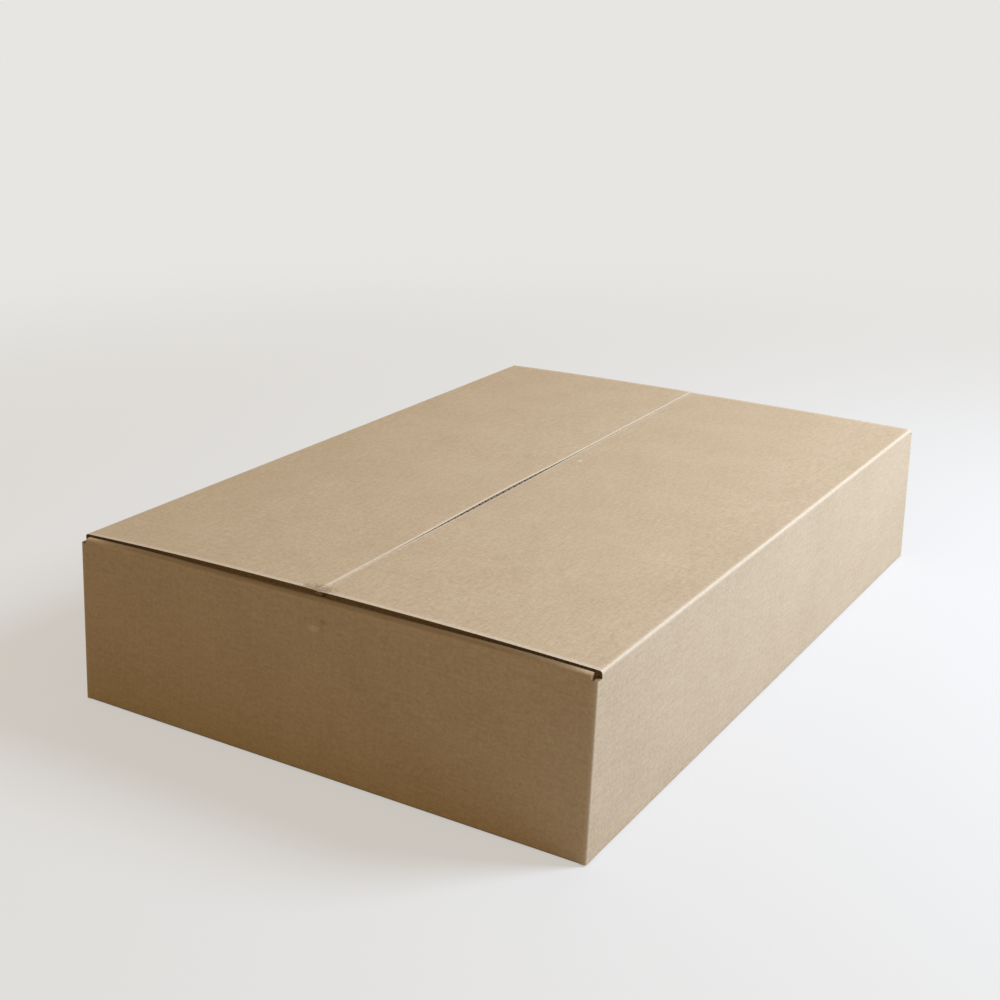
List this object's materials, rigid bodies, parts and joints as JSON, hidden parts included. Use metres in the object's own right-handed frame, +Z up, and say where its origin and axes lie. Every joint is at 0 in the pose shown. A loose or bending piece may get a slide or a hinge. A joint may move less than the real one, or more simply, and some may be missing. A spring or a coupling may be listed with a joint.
{
  "type": "cardboard shipping box",
  "caption": "Low rectangular cardboard carton folded from a slotted sheet. Outer flaps meet along the middle of its top and swing open on their folds to give access to the inside.",
  "frame": {"origin": "centre of the footprint, on the surface that the carton stands on", "axes": "+Z up, +Y along the length away from the front end, +X to the right as seen from the front end"},
  "size_m": [0.306, 0.456, 0.0969],
  "materials": {
    "kraft_board": "plain unprinted kraft liner, matt"
  },
  "bodies": {
    "carton": {"carton_body": "kraft_board"},
    "left_flap": {"left_flap": "kraft_board"},
    "right_flap": {"right_flap": "kraft_board"}
  },
  "joints": [
    {"name": "left_flap_fold", "type": "hinge", "parent": "carton", "child": "left_flap", "pos_m": [-0.153, 0, 0.0923], "axis": [0, -1, 0], "range_deg": [0, 175]},
    {"name": "right_flap_fold", "type": "hinge", "parent": "carton", "child": "right_flap", "pos_m": [0.153, 0, 0.0923], "axis": [0, 1, 0], "range_deg": [0, 175]}
  ]
}
